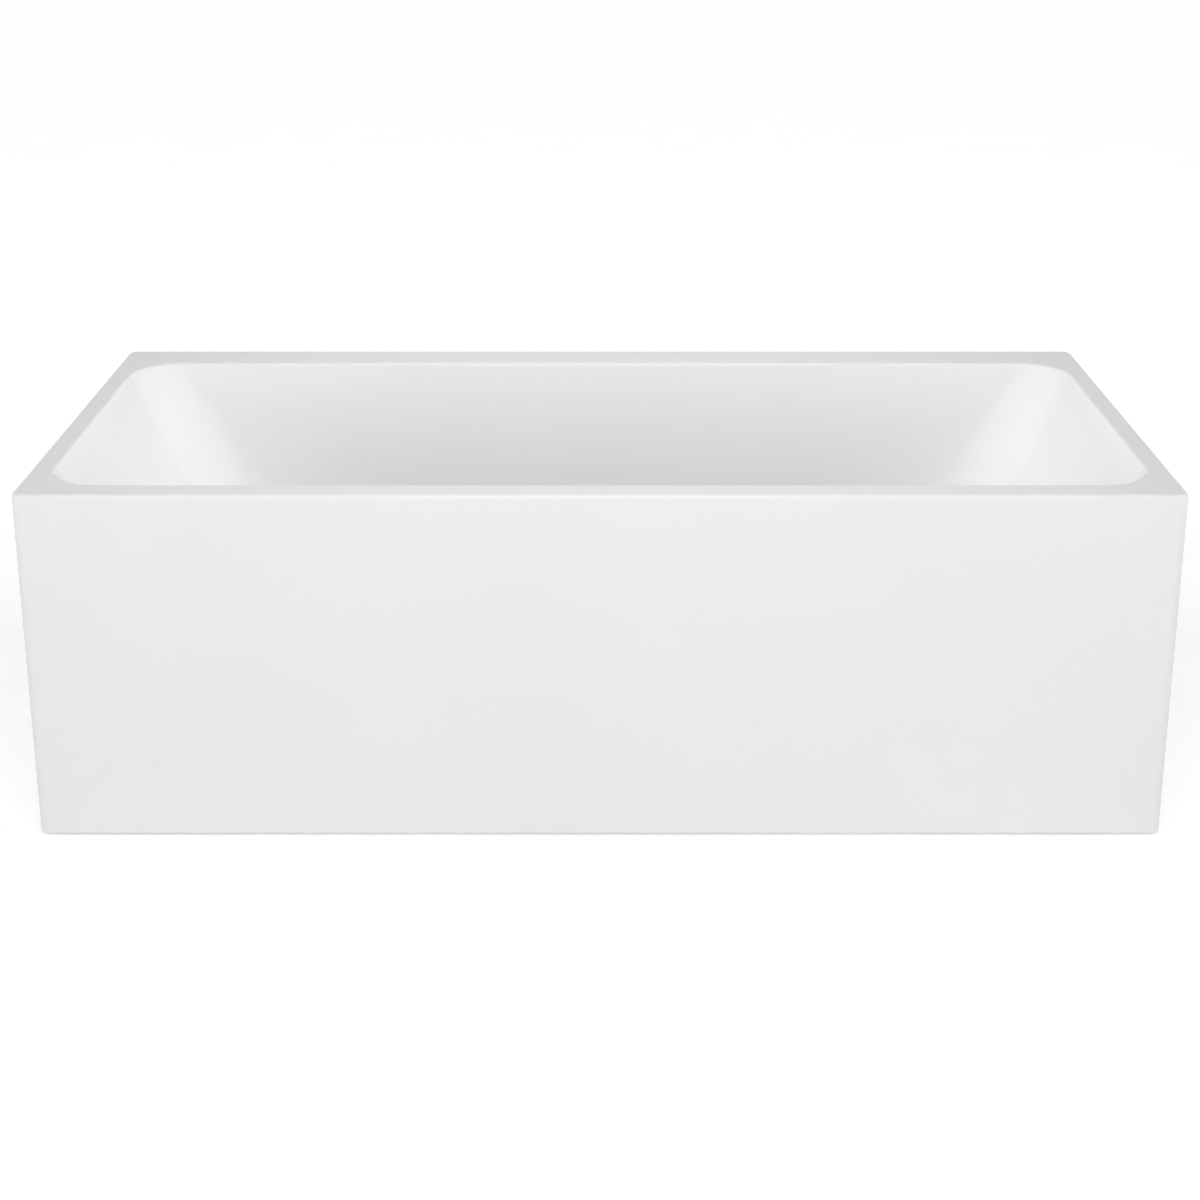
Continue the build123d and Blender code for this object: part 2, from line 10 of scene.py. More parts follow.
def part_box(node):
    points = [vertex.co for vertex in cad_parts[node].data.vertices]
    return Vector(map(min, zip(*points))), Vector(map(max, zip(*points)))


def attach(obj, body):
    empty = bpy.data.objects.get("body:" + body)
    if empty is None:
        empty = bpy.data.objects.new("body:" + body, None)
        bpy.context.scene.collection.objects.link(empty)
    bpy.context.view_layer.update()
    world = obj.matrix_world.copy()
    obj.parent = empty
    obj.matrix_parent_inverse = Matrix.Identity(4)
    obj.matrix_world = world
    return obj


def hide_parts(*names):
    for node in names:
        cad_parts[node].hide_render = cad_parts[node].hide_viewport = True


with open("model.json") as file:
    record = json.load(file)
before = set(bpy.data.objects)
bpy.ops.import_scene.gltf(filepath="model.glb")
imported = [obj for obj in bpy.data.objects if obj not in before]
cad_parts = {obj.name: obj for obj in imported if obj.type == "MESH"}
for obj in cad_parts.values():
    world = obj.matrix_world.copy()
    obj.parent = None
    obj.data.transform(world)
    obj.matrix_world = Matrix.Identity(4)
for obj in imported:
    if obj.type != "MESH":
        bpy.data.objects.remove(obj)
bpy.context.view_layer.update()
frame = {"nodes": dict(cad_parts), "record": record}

MM = 0.001

# Sizes of the moulded tub in metres. Its outside follows the solids.
HALF_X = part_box("tub_basin")[1].x
HALF_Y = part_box("tub_basin")[1].y
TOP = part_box("tub_basin")[1].z
SKIRT_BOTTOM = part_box("outer_skirt")[0].z
SHELL = 5 * MM
OUTER_CORNER = 18 * MM
OUTER_EDGE = 7 * MM
INNER_EDGE = 7 * MM
BOTTOM_EDGE = 1.5 * MM
RIM_END = 36 * MM
RIM_FRONT = 50 * MM
RIM_REAR = 86 * MM
OPENING_CORNER = 82 * MM
LOWER_CORNER = 138 * MM
BASIN_DEPTH = 425 * MM
END_TILT = math.radians(28.5)
SIDE_TILT = math.radians(5.5)
BLEND_HEIGHT = 84 * MM
OPENING_HALF_X = HALF_X - RIM_END
OPENING_HALF_Y = HALF_Y - (RIM_FRONT + RIM_REAR) / 2
OPENING_Y = (RIM_FRONT - RIM_REAR) / 2
FLOOR_Z = TOP - BASIN_DEPTH
WALL_TOP = TOP - 12 * MM
WALL_BOTTOM = FLOOR_Z + BLEND_HEIGHT
LAST_WALL_RISE = 3 * MM

# Seat of the waste, where the floor falls to its hole
FLOOR_FALL = 6 * MM
SEAT_Z = FLOOR_Z - FLOOR_FALL
SEAT_HALF = 46 * MM
SEAT_FLAT = 38 * MM
WASTE_HOLE = 26 * MM
HOLE_EDGE = 1 * MM

# Steps round and along the shell, and shares for its rings, close together where it starts to turn
CORNER_STEPS = 24
LONG_STEPS = 18
END_STEPS = 10
BOTTOM_EDGE_STEPS = 6
EDGE_STEPS = 12
WALL_STEPS = 9
BLEND_STEPS = 28
UNDER_BLEND_STEPS = 14
SKIRT_SHARES = (0.01, 0.25, 0.5, 0.75, 0.94, 0.992)
RIM_SHARES = (0.06, 0.3, 0.5, 0.7, 0.94)
FLOOR_SHARES = (0.02, 0.1, 0.25, 0.4, 0.55, 0.7, 0.85, 0.95, 1)
UNDER_FLOOR_SHARES = (1, 0.85, 0.7, 0.55, 0.4, 0.25, 0.1)
UNDER_WALL_SHARES = (0.2, 0.6)
UNDER_SKIRT_SHARES = (0.75, 0.5, 0.25)

# Turned pieces: steps in a full turn, and the bend above which an edge stays sharp
TURN_STEPS = 96
SHARP_ANGLE = math.radians(40)

# Cap of the click plug: a hub, a rounded edge that ends at a share of the dome's slope, and a dome
PLUG_HUB = 9 * MM
PLUG_DEPTH = 6.5 * MM
PLUG_EDGE = 1.4 * MM
PLUG_EDGE_DROP = 0.4 * PLUG_EDGE
PLUG_EDGE_SLOPE = 0.8
PLUG_LOWER_STEPS = 5
PLUG_UPPER_STEPS = 6
DOME_RISE = 3.5 * MM
DOME_STEPS = 18

# Overflow in the front wall and its cover, with three slots in the cover's lower half
OVERFLOW_Z = TOP - 80 * MM
OVERFLOW_HOLE = 24 * MM
HOLE_STEPS = 64
OVERFLOW_PLATE = 33 * MM
COVER_WALL = 4 * MM
COVER_HEIGHT = 13 * MM
COVER_STAND = 1 * MM
COVER_EDGE = 3 * MM
COVER_EDGE_STEPS = 10
COVER_FOOT_EDGE = 0.6 * MM
COVER_FACE_SHARES = (0.6, 0.3, 0)
SLOT_SIZE = (16 * MM, 12 * MM, 6 * MM)
SLOT_DEGREES = (52, 90, 128)

# Studio light: strengths where white is 1, and distances in metres
HORIZON_LIGHT = 0.36
ZENITH_LIGHT = 0.30
# Glow on the floor seen by the camera: lower near the tub, which paints shade on the floor round it;
# higher far out, where the floor is evenly white
NEAR_LIFT_WITH_PAINTED_SHADE = 0.46
FAR_LIFT = 0.72
NEAR_DISTANCE = 0.9
FAR_DISTANCE = 2.8
FLOOR_HALF = 40

# Camera: metres in front of the tub, metres above the floor, lens in millimetres, share of the frame
CAMERA_GAP = 2.774
CAMERA_HEIGHT = 1.604
CAMERA_TILT = math.radians(16.27)
CAMERA_LENS = 58.2
CAMERA_SHIFT = -0.2
SENSOR_WIDTH = 36
CAMERA_REACH = 200

# Range that noise mostly keeps to
NOISE_LOW = 0.35
NOISE_HIGH = 0.65


# Materials

def new_material(name):
    material = bpy.data.materials.new(name)
    material.use_nodes = True
    material.node_tree.nodes.clear()
    return material, material.node_tree.nodes, material.node_tree.links


def add_noise(nodes, links, scale, detail, stretch=(1, 1, 1)):
    """Noise in the object's own metres."""
    place = nodes.new("ShaderNodeTexCoord")
    mapping = nodes.new("ShaderNodeMapping")
    mapping.inputs["Scale"].default_value = stretch
    noise = nodes.new("ShaderNodeTexNoise")
    noise.inputs["Scale"].default_value = scale
    noise.inputs["Detail"].default_value = detail
    links.new(place.outputs["Object"], mapping.inputs["Vector"])
    links.new(mapping.outputs["Vector"], noise.inputs["Vector"])
    return noise.outputs["Fac"]


def add_range(nodes, links, source, low, high):
    """Noise spread between low and high."""
    spread = nodes.new("ShaderNodeMapRange")
    spread.inputs["From Min"].default_value = NOISE_LOW
    spread.inputs["From Max"].default_value = NOISE_HIGH
    spread.inputs["To Min"].default_value = low
    spread.inputs["To Max"].default_value = high
    links.new(source, spread.inputs["Value"])
    return spread.outputs["Result"]


def add_ramp(nodes, links, source, first, second):
    """Noise as a colour between first and second."""
    ramp = nodes.new("ShaderNodeValToRGB")
    ramp.color_ramp.elements[0].position = NOISE_LOW
    ramp.color_ramp.elements[0].color = (*first, 1)
    ramp.color_ramp.elements[1].position = NOISE_HIGH
    ramp.color_ramp.elements[1].color = (*second, 1)
    links.new(source, ramp.inputs["Fac"])
    return ramp.outputs["Color"]


def add_bump(nodes, links, height, distance, strength, below=None):
    bump = nodes.new("ShaderNodeBump")
    bump.inputs["Distance"].default_value = distance
    bump.inputs["Strength"].default_value = strength
    links.new(height, bump.inputs["Height"])
    if below is not None:
        links.new(below, bump.inputs["Normal"])
    return bump.outputs["Normal"]


def principled(name):
    material, nodes, links = new_material(name)
    shader = nodes.new("ShaderNodeBsdfPrincipled")
    output = nodes.new("ShaderNodeOutputMaterial")
    links.new(shader.outputs["BSDF"], output.inputs["Surface"])
    return material, nodes, links, shader


def surface(name, colours, roughness, scale, detail, stretch=(1, 1, 1), bump=None, metallic=0):
    """Material whose colour and roughness vary with one noise. Bump is a distance and a strength."""
    material, nodes, links, shader = principled(name)
    noise = add_noise(nodes, links, scale, detail, stretch)
    links.new(add_ramp(nodes, links, noise, *colours), shader.inputs["Base Color"])
    links.new(add_range(nodes, links, noise, *roughness), shader.inputs["Roughness"])
    shader.inputs["Metallic"].default_value = metallic
    if bump is not None:
        links.new(add_bump(nodes, links, noise, *bump), shader.inputs["Normal"])
    return material


def make_acrylic():
    """Glossy white sanitary acrylic: sheet that was heated and drawn, so it is very slightly wavy."""
    material, nodes, links, shader = principled("white_acrylic")
    cloud = add_noise(nodes, links, scale=2.2, detail=2)
    grain = add_noise(nodes, links, scale=420, detail=2)
    white = add_ramp(nodes, links, cloud, first=(0.918, 0.918, 0.916), second=(0.932, 0.932, 0.931))
    links.new(white, shader.inputs["Base Color"])
    links.new(add_range(nodes, links, grain, low=0.11, high=0.15), shader.inputs["Roughness"])
    wave = add_bump(nodes, links, cloud, distance=0.002, strength=0.12)
    skin = add_bump(nodes, links, grain, distance=0.00001, strength=0.25, below=wave)
    links.new(skin, shader.inputs["Normal"])
    shader.inputs["IOR"].default_value = 1.49
    shader.inputs["Specular IOR Level"].default_value = 0.32
    return material


def make_pine(name, stretch):
    """Planed pine, with its grain along the axis that has the small stretch."""
    return surface(
        name, colours=((0.46, 0.30, 0.15), (0.66, 0.47, 0.27)), roughness=(0.50, 0.68),
        scale=26, detail=6, stretch=stretch, bump=(0.0004, 0.35))


ACRYLIC = make_acrylic()

# Metals
CHROME = surface(
    "chrome_plate", colours=((0.78, 0.79, 0.80), (0.86, 0.87, 0.88)), roughness=(0.05, 0.09),
    scale=30, detail=4, metallic=1)
BRASS = surface(
    "turned_brass", colours=((0.62, 0.46, 0.20), (0.76, 0.60, 0.30)), roughness=(0.22, 0.34),
    scale=240, detail=3, stretch=(1, 1, 8), bump=(0.0001, 0.2), metallic=1)
ZINC = surface(
    "zinc_plate", colours=((0.50, 0.51, 0.53), (0.68, 0.69, 0.71)), roughness=(0.28, 0.42),
    scale=60, detail=5, bump=(0.0001, 0.2), metallic=1)
SPRING = surface(
    "spring_wire", colours=((0.45, 0.45, 0.46), (0.60, 0.60, 0.61)), roughness=(0.2, 0.3),
    scale=300, detail=2, metallic=1)

# Rubber and plastics
RUBBER = surface(
    "black_rubber", colours=((0.015, 0.015, 0.016), (0.030, 0.030, 0.031)), roughness=(0.55, 0.70),
    scale=180, detail=4, bump=(0.0002, 0.3))
PIPE = surface(
    "white_pipe", colours=((0.74, 0.74, 0.72), (0.80, 0.80, 0.78)), roughness=(0.32, 0.42),
    scale=40, detail=3, bump=(0.0001, 0.15))
NUT = surface(
    "grey_nut", colours=((0.16, 0.17, 0.18), (0.21, 0.22, 0.23)), roughness=(0.40, 0.52),
    scale=120, detail=4, bump=(0.0002, 0.25))
FOOT = surface(
    "foot_plastic", colours=((0.020, 0.020, 0.021), (0.035, 0.035, 0.036)), roughness=(0.42, 0.58),
    scale=150, detail=4, bump=(0.0002, 0.3))

# Woods
LONG_PINE = make_pine("long_pine_batten", stretch=(0.12, 3, 3))
END_PINE = make_pine("end_pine_batten", stretch=(3, 0.12, 3))
BOARD = surface(
    "chipboard", colours=((0.34, 0.25, 0.15), (0.58, 0.46, 0.30)), roughness=(0.65, 0.85),
    scale=130, detail=8, stretch=(1, 1, 2), bump=(0.0006, 0.5))

SLOT_MATERIALS = {
    "acrylic": ACRYLIC,
    "timber": LONG_PINE,
    "board": BOARD,
    "zinc_steel": ZINC,
    "spring_steel": SPRING,
    "chrome": CHROME,
    "brass": BRASS,
    "rubber": RUBBER,
    "white_plastic": PIPE,
    "grey_plastic": NUT,
    "foot_plastic": FOOT,
}


# The moulded shell

def ring_points(half_x, half_y, radius, centre_y):
    """Plan points and outward directions round a rounded rectangle, equally many at any size."""
    points = []
    directions = []
    corners = [(1, 1, 0), (-1, 1, 90), (-1, -1, 180), (1, -1, 270)]
    for number, (side_x, side_y, start) in enumerate(corners):
        middle = np.array([side_x * (half_x - radius), side_y * (half_y - radius)])
        for step in range(CORNER_STEPS + 1):
            angle = math.radians(start + 90 * step / CORNER_STEPS)
            outward = np.array([math.cos(angle), math.sin(angle)])
            points.append(middle + radius * outward)
            directions.append(outward)
        next_x, next_y, _ = corners[(number + 1) % 4]
        following = np.array([next_x * (half_x - radius), next_y * (half_y - radius)])
        first = middle + radius * outward
        last = following + radius * outward
        steps = LONG_STEPS if number % 2 == 0 else END_STEPS
        for step in range(1, steps):
            points.append(first + (last - first) * step / steps)
            directions.append(outward)
    points = np.array(points)
    points[:, 1] += centre_y
    return points, np.array(directions)


def level_ring(half_x, half_y, radius, centre_y, z):
    points, _ = ring_points(half_x, half_y, radius, centre_y)
    return np.column_stack([points, np.full(len(points), z)])


def outside_ring(inset, z):
    """Ring inset from the tub's outside."""
    return level_ring(HALF_X - inset, HALF_Y - inset, OUTER_CORNER - inset, 0, z)


def blend_radius(tilt):
    """Radius of the curve from a wall with this tilt into the floor."""
    return BLEND_HEIGHT / (1 - math.sin(tilt))


def wall_centre(half, tilt):
    """Distance from the middle of the basin to the centre of that curve."""
    radius = blend_radius(tilt)
    return half - (BASIN_DEPTH - radius) * math.tan(tilt) - radius / math.cos(tilt)


def wall_half(half, tilt, z, grow):
    """Half size of the basin at height z, with the wall moved outwards by grow."""
    radius = blend_radius(tilt)
    centre_z = FLOOR_Z + radius
    if z >= centre_z - (radius + grow) * math.sin(tilt):
        return half - (TOP - z) * math.tan(tilt) + grow / math.cos(tilt)
    reach = math.sqrt(max((radius + grow) ** 2 - (centre_z - z) ** 2, 0))
    return wall_centre(half, tilt) + reach


def basin_corner(z, grow):
    """Plan radius of the basin's corners at height z: wider lower down, then drawn in with the floor."""
    if z >= WALL_BOTTOM:
        share = (TOP - z) / (TOP - WALL_BOTTOM)
        return OPENING_CORNER + (LOWER_CORNER - OPENING_CORNER) * share + grow
    drawn_in = wall_half(OPENING_HALF_Y, SIDE_TILT, WALL_BOTTOM, grow)
    drawn_in -= wall_half(OPENING_HALF_Y, SIDE_TILT, z, grow)
    return LOWER_CORNER - drawn_in + grow


def basin_sizes(z, grow):
    half_x = wall_half(OPENING_HALF_X, END_TILT, z, grow)
    half_y = wall_half(OPENING_HALF_Y, SIDE_TILT, z, grow)
    return half_x, half_y, basin_corner(z, grow)


def basin_ring(z, grow):
    return level_ring(*basin_sizes(z, grow), OPENING_Y, z)


def blend_heights(steps, grow):
    """Heights down the curve from the wall to the floor."""
    radius = blend_radius(SIDE_TILT)
    angles = [SIDE_TILT + (math.pi / 2 - SIDE_TILT) * step / steps for step in range(steps + 1)]
    return [FLOOR_Z + radius - (radius + grow) * math.sin(angle) for angle in angles]


def floor_ring(share, grow):
    """Ring on the floor, from its edge at share 0 to the round seat of the waste at 1."""
    sizes = basin_sizes(FLOOR_Z - grow, grow)
    half_x, half_y, radius = [size + (SEAT_HALF - size) * share for size in sizes]
    fall = FLOOR_FALL * (3 * share ** 2 - 2 * share ** 3)
    return level_ring(half_x, half_y, radius, OPENING_Y, FLOOR_Z - grow - fall)


def inner_edge_rings():
    """Rings of the rounded edge between the flat rim and the basin's walls."""
    step_down = 10 * MM
    upper, outward = ring_points(*basin_sizes(TOP, 0), OPENING_Y)
    lower, _ = ring_points(*basin_sizes(TOP - step_down, 0), OPENING_Y)
    tilt = np.arctan2(np.sum((upper - lower) * outward, axis=1), step_down)
    sweep = math.pi / 2 - tilt
    back = INNER_EDGE * np.tan(sweep / 2)
    rings = []
    for step in range(EDGE_STEPS + 1):
        turn = sweep * step / EDGE_STEPS
        shift = back - INNER_EDGE * np.sin(turn)
        plan = upper + outward * shift[:, None]
        rings.append(np.column_stack([plan, TOP - INNER_EDGE + INNER_EDGE * np.cos(turn)]))
    return rings


def mix_rings(first, second, shares):
    return [first + (second - first) * share for share in shares]


def quad(lower, upper, point, beside):
    """Face between two rows of vertex numbers, from one point to the point beside it."""
    return (lower[point], lower[beside], upper[beside], upper[point])


def mesh_piece(name, vertices, faces, material, body, sharp_angle=None):
    """Smooth-shaded piece on a body. Edges that bend by more than the sharp angle stay sharp."""
    mesh = bpy.data.meshes.new(name)
    mesh.from_pydata([tuple(v) for v in vertices], [], faces)
    mesh.validate()
    mesh.materials.append(material)
    mesh.polygons.foreach_set("use_smooth", [True] * len(mesh.polygons))
    if sharp_angle is not None:
        mesh.set_sharp_from_angle(angle=sharp_angle)
    piece = bpy.data.objects.new(name, mesh)
    bpy.context.scene.collection.objects.link(piece)
    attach(piece, body)
    return piece


def outside_rings():
    """Up the outside: rounded lower edge, upright skirt and rounded upper edge."""
    rings = []
    for step in range(BOTTOM_EDGE_STEPS + 1):
        angle = math.pi / 2 * step / BOTTOM_EDGE_STEPS
        inset = BOTTOM_EDGE * (1 - math.sin(angle))
        rings.append(outside_ring(inset, SKIRT_BOTTOM + BOTTOM_EDGE * (1 - math.cos(angle))))
    lower = outside_ring(0, SKIRT_BOTTOM + BOTTOM_EDGE)
    upper = outside_ring(0, TOP - OUTER_EDGE)
    rings += mix_rings(lower, upper, SKIRT_SHARES)
    for step in range(EDGE_STEPS + 1):
        angle = math.pi / 2 * step / EDGE_STEPS
        inset = OUTER_EDGE * (1 - math.cos(angle))
        rings.append(outside_ring(inset, TOP - OUTER_EDGE * (1 - math.sin(angle))))
    return rings


def basin_rings():
    """Over the flat rim, down the basin's walls and across its floor into the waste hole."""
    edge = inner_edge_rings()
    rings = mix_rings(outside_ring(OUTER_EDGE, TOP), edge[0], RIM_SHARES) + edge
    last_wall = WALL_BOTTOM + LAST_WALL_RISE
    for step in range(WALL_STEPS + 1):
        rings.append(basin_ring(WALL_TOP + (last_wall - WALL_TOP) * step / WALL_STEPS, 0))
    rings += [basin_ring(z, 0) for z in blend_heights(BLEND_STEPS, 0)]
    rings += [floor_ring(share, 0) for share in FLOOR_SHARES]
    seat = [(SEAT_FLAT, 0), (WASTE_HOLE + HOLE_EDGE, 0), (WASTE_HOLE, HOLE_EDGE), (WASTE_HOLE, SHELL)]
    rings += [level_ring(radius, radius, radius, OPENING_Y, SEAT_Z - drop) for radius, drop in seat]
    return rings


def underside_rings():
    """Back along the underside of the floor, up behind the walls, and down inside the skirt."""
    rings = [floor_ring(share, SHELL) for share in UNDER_FLOOR_SHARES]
    rings += [basin_ring(z, SHELL) for z in reversed(blend_heights(UNDER_BLEND_STEPS, SHELL))]
    rings += [basin_ring(WALL_BOTTOM + share * (TOP - WALL_BOTTOM), SHELL) for share in UNDER_WALL_SHARES]
    rings += [basin_ring(TOP - SHELL, SHELL), outside_ring(SHELL, TOP - SHELL)]
    rings += [outside_ring(SHELL, TOP * share) for share in UNDER_SKIRT_SHARES]
    rings.append(outside_ring(SHELL, SKIRT_BOTTOM))
    return rings


def overflow_matrix():
    """Frame on the front wall at the overflow: Z into the basin, Y down the wall."""
    wall_y = OPENING_Y - wall_half(OPENING_HALF_Y, SIDE_TILT, OVERFLOW_Z, 0)
    facing = Vector((0, math.cos(SIDE_TILT), math.sin(SIDE_TILT)))
    across = Vector((1, 0, 0))
    turned = Matrix((across, facing.cross(across), facing)).transposed().to_4x4()
    return Matrix.Translation((0, wall_y, OVERFLOW_Z)) @ turned


def cut(piece, cutter):
    """Takes cutter out of piece for good."""
    change = piece.modifiers.new("cut", "BOOLEAN")
    change.operation = "DIFFERENCE"
    change.solver = "EXACT"
    change.object = cutter
    bpy.context.view_layer.update()
    evaluated = piece.evaluated_get(bpy.context.evaluated_depsgraph_get())
    result = bpy.data.meshes.new_from_object(evaluated)
    piece.modifiers.clear()
    piece.data = result
    bpy.data.objects.remove(cutter)


def cutter_from(name, build):
    """Object that is only used to cut, built by a bmesh function."""
    mesh = bpy.data.meshes.new(name)
    work = bmesh.new()
    build(work)
    work.to_mesh(mesh)
    work.free()
    cutter = bpy.data.objects.new(name, mesh)
    bpy.context.scene.collection.objects.link(cutter)
    return cutter


def make_shell():
    """Basin and skirt as one shell: a closed strip of rings, with the overflow's hole cut out."""
    rings = outside_rings() + basin_rings() + underside_rings()
    count = len(rings[0])
    rows = [range(ring * count, (ring + 1) * count) for ring in range(len(rings))]
    faces = []
    for lower, upper in zip(rows, rows[1:] + rows[:1]):
        faces += [quad(lower, upper, point, (point + 1) % count) for point in range(count)]
    shell = mesh_piece("bath_shell", np.concatenate(rings), faces, ACRYLIC, "tub")
    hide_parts("tub_basin", "outer_skirt")
    place = overflow_matrix()

    def hole(work):
        bmesh.ops.create_cone(
            work, cap_ends=True, segments=HOLE_STEPS, radius1=OVERFLOW_HOLE, radius2=OVERFLOW_HOLE,
            depth=4 * SHELL, matrix=place)

    cut(shell, cutter_from("overflow_cutter", hole))


# Turned pieces of the waste and overflow

def lathe(name, profile, material, body, place):
    """Solid turned about the Z axis of place. Its profile starts and ends on that axis."""
    vertices = []
    rows = []
    for radius, height in profile:
        if radius == 0:
            rows.append([len(vertices)])
            vertices.append(place @ Vector((0, 0, height)))
            continue
        rows.append(list(range(len(vertices), len(vertices) + TURN_STEPS)))
        for step in range(TURN_STEPS):
            angle = 2 * math.pi * step / TURN_STEPS
            vertices.append(place @ Vector((radius * math.cos(angle), radius * math.sin(angle), height)))
    faces = []
    for lower, upper in zip(rows, rows[1:]):
        for step in range(TURN_STEPS):
            beside = (step + 1) % TURN_STEPS
            if len(lower) == 1:
                faces.append((lower[0], upper[beside], upper[step]))
            elif len(upper) == 1:
                faces.append((lower[step], lower[beside], upper[0]))
            else:
                faces.append(quad(lower, upper, step, beside))
    return mesh_piece(name, vertices, faces, material, body, SHARP_ANGLE)


def arc(centre, radius, start, end, steps):
    """Profile points on an arc, angles in degrees."""
    points = []
    for step in range(steps + 1):
        angle = math.radians(start + (end - start) * step / steps)
        points.append((centre[0] + radius * math.cos(angle), centre[1] + radius * math.sin(angle)))
    return points


def make_plug_cap():
    """Domed click plug with a rounded edge, in the closed place."""
    low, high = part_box("plug_cap")
    radius = (high.x - low.x) / 2
    under = high.z - PLUG_DEPTH
    rim = radius - PLUG_EDGE
    dome_radius = (radius ** 2 + DOME_RISE ** 2) / (2 * DOME_RISE)
    half_angle = math.degrees(math.asin(rim / dome_radius))
    edge_top = high.z - DOME_RISE - PLUG_EDGE_DROP
    profile = [(0, low.z), (PLUG_HUB, low.z), (PLUG_HUB, under), (rim, under)]
    profile += arc((rim, under + PLUG_EDGE), PLUG_EDGE, -90, 0, PLUG_LOWER_STEPS)
    profile += arc((rim, edge_top), PLUG_EDGE, 0, 90 - PLUG_EDGE_SLOPE * half_angle, PLUG_UPPER_STEPS)
    profile += arc((0, high.z - dome_radius), dome_radius, 90 - half_angle, 90, DOME_STEPS)[1:-1]
    profile.append((0, high.z))
    cap = lathe("click_plug_cap", profile, CHROME, "plug", Matrix.Translation((0, OPENING_Y, 0)))
    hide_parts("plug_cap")


def make_overflow_cover():
    """Round chrome cover that stands off the wall, with slots in its lower edge."""
    outer = OVERFLOW_PLATE + COVER_WALL
    top = COVER_STAND + COVER_HEIGHT
    profile = [
        (OVERFLOW_PLATE, COVER_STAND),
        (outer - COVER_FOOT_EDGE, COVER_STAND),
        (outer, COVER_STAND + COVER_FOOT_EDGE),
    ]
    profile += arc((outer - COVER_EDGE, top - COVER_EDGE), COVER_EDGE, 0, 90, COVER_EDGE_STEPS)
    profile += [(outer * share, top) for share in COVER_FACE_SHARES]
    inside = [(0, top - COVER_WALL), (OVERFLOW_PLATE, top - COVER_WALL)]
    place = overflow_matrix()
    cover = lathe("overflow_cap", inside + profile, CHROME, "tub", place)
    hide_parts("overflow_cover")
    slot_z = top - COVER_WALL - SLOT_SIZE[2] / 2

    def slots(work):
        for degrees in SLOT_DEGREES:
            turn = Matrix.Rotation(math.radians(degrees), 4, "Z")
            shift = Matrix.Translation((outer, 0, slot_z))
            size = Matrix.Diagonal((*SLOT_SIZE, 1))
            bmesh.ops.create_cube(work, size=1, matrix=place @ turn @ shift @ size)

    cut(cover, cutter_from("slot_cutter", slots))


# Looks of the solids

def dress_solids():
    slots = {part["node"]: part["material_slot"] for part in frame["record"]["subparts"]}
    for name, node in frame["nodes"].items():
        node.data.materials.clear()
        node.data.materials.append(SLOT_MATERIALS[slots[name]])
    for name in ("rim_batten_left", "rim_batten_right"):
        frame["nodes"][name].data.materials[0] = END_PINE


# Studio

def add_seen(nodes, links):
    """One where a surface is seen by the camera or in a reflection, and zero where it only gives light."""
    path = nodes.new("ShaderNodeLightPath")
    seen = path.outputs["Is Camera Ray"]
    for output in ("Is Glossy Ray", "Is Transmission Ray"):
        either = nodes.new("ShaderNodeMath")
        either.operation = "MAXIMUM"
        links.new(seen, either.inputs[0])
        links.new(path.outputs[output], either.inputs[1])
        seen = either.outputs["Value"]
    return seen


def add_floor_lift_with_painted_shade(nodes, links):
    """Brightness added to the floor for the camera: less round the tub, which paints shade on the floor
    there on top of the tub's own shadow, so that its shadow shows there.
    """
    place = nodes.new("ShaderNodeTexCoord")
    distance = nodes.new("ShaderNodeVectorMath")
    distance.operation = "LENGTH"
    links.new(place.outputs["Object"], distance.inputs[0])
    glow_and_painted_shade = nodes.new("ShaderNodeMapRange")
    glow_and_painted_shade.interpolation_type = "SMOOTHSTEP"
    glow_and_painted_shade.inputs["From Min"].default_value = NEAR_DISTANCE
    glow_and_painted_shade.inputs["From Max"].default_value = FAR_DISTANCE
    glow_and_painted_shade.inputs["To Min"].default_value = NEAR_LIFT_WITH_PAINTED_SHADE
    glow_and_painted_shade.inputs["To Max"].default_value = FAR_LIFT
    links.new(distance.outputs["Value"], glow_and_painted_shade.inputs["Value"])
    return glow_and_painted_shade.outputs["Result"]


def make_floor():
    """Pale floor that the camera sees as white, with the tub's shadow on it and painted shade round the
    tub, where its glow is weaker.
    """
    material, nodes, links = new_material("studio_floor")
    output = nodes.new("ShaderNodeOutputMaterial")
    matte = nodes.new("ShaderNodeBsdfDiffuse")
    grain = add_noise(nodes, links, scale=3, detail=2)
    pale = add_ramp(nodes, links, grain, first=(0.80, 0.80, 0.80), second=(0.82, 0.82, 0.82))
    links.new(pale, matte.inputs["Color"])
    glow_and_painted_shade = nodes.new("ShaderNodeEmission")
    links.new(add_floor_lift_with_painted_shade(nodes, links), glow_and_painted_shade.inputs["Strength"])
    both = nodes.new("ShaderNodeAddShader")
    links.new(matte.outputs["BSDF"], both.inputs[0])
    links.new(glow_and_painted_shade.outputs["Emission"], both.inputs[1])
    choice = nodes.new("ShaderNodeMixShader")
    links.new(add_seen(nodes, links), choice.inputs["Fac"])
    links.new(matte.outputs["BSDF"], choice.inputs[1])
    links.new(both.outputs["Shader"], choice.inputs[2])
    links.new(choice.outputs["Shader"], output.inputs["Surface"])
    corners = [(x * FLOOR_HALF, y * FLOOR_HALF, 0) for x, y in ((-1, -1), (1, -1), (1, 1), (-1, 1))]
    mesh = bpy.data.meshes.new("studio_floor")
    mesh.from_pydata(corners, [], [(0, 1, 2, 3)])
    mesh.materials.append(material)
    floor = bpy.data.objects.new("studio_floor", mesh)
    bpy.context.scene.collection.objects.link(floor)


